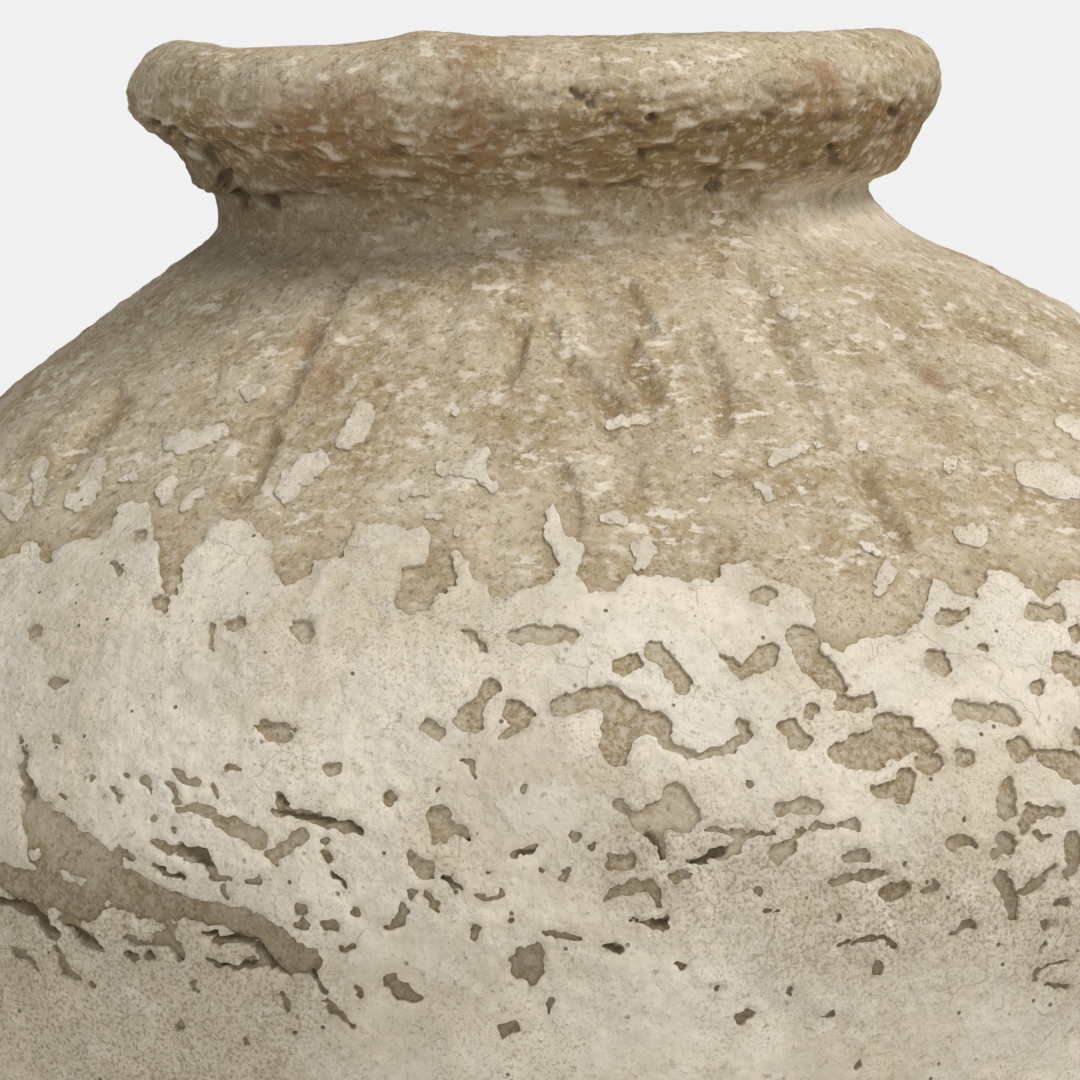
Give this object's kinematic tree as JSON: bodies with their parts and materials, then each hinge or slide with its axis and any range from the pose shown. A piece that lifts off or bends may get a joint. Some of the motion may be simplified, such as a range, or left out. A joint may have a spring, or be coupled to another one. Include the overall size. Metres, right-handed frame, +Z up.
{
  "type": "urn vase",
  "caption": "Wide-shouldered hand-built urn vase with a rolled lip, mud-coated neck and chipped lime plaster over a tapering body.",
  "frame": {"origin": "middle of the round foot, on the surface the pot stands on", "axes": "+Z up, -Y towards the pictured front, +X to the right of that front, where the shoulder is higher"},
  "size_m": [0.3802, 0.3804, 0.3513],
  "materials": {
    "terracotta": "matte",
    "mud_coat": "matte",
    "lime_plaster": "matte"
  },
  "bodies": {
    "root": {"floor_disc": "terracotta", "lower_wall": "terracotta", "shoulder_wall": "terracotta", "neck_collar": "terracotta", "lip_roll": "terracotta", "floor_seam_coil": "terracotta", "belly_seam_coil": "terracotta", "neck_seam_coil": "terracotta", "mud_coat_collar": "mud_coat", "mud_coat_shoulder": "mud_coat", "mud_coat_belly": "mud_coat", "plaster_coat_shoulder": "lime_plaster", "plaster_coat_belly": "lime_plaster", "plaster_flakes": "lime_plaster"}
  },
  "joints": []
}
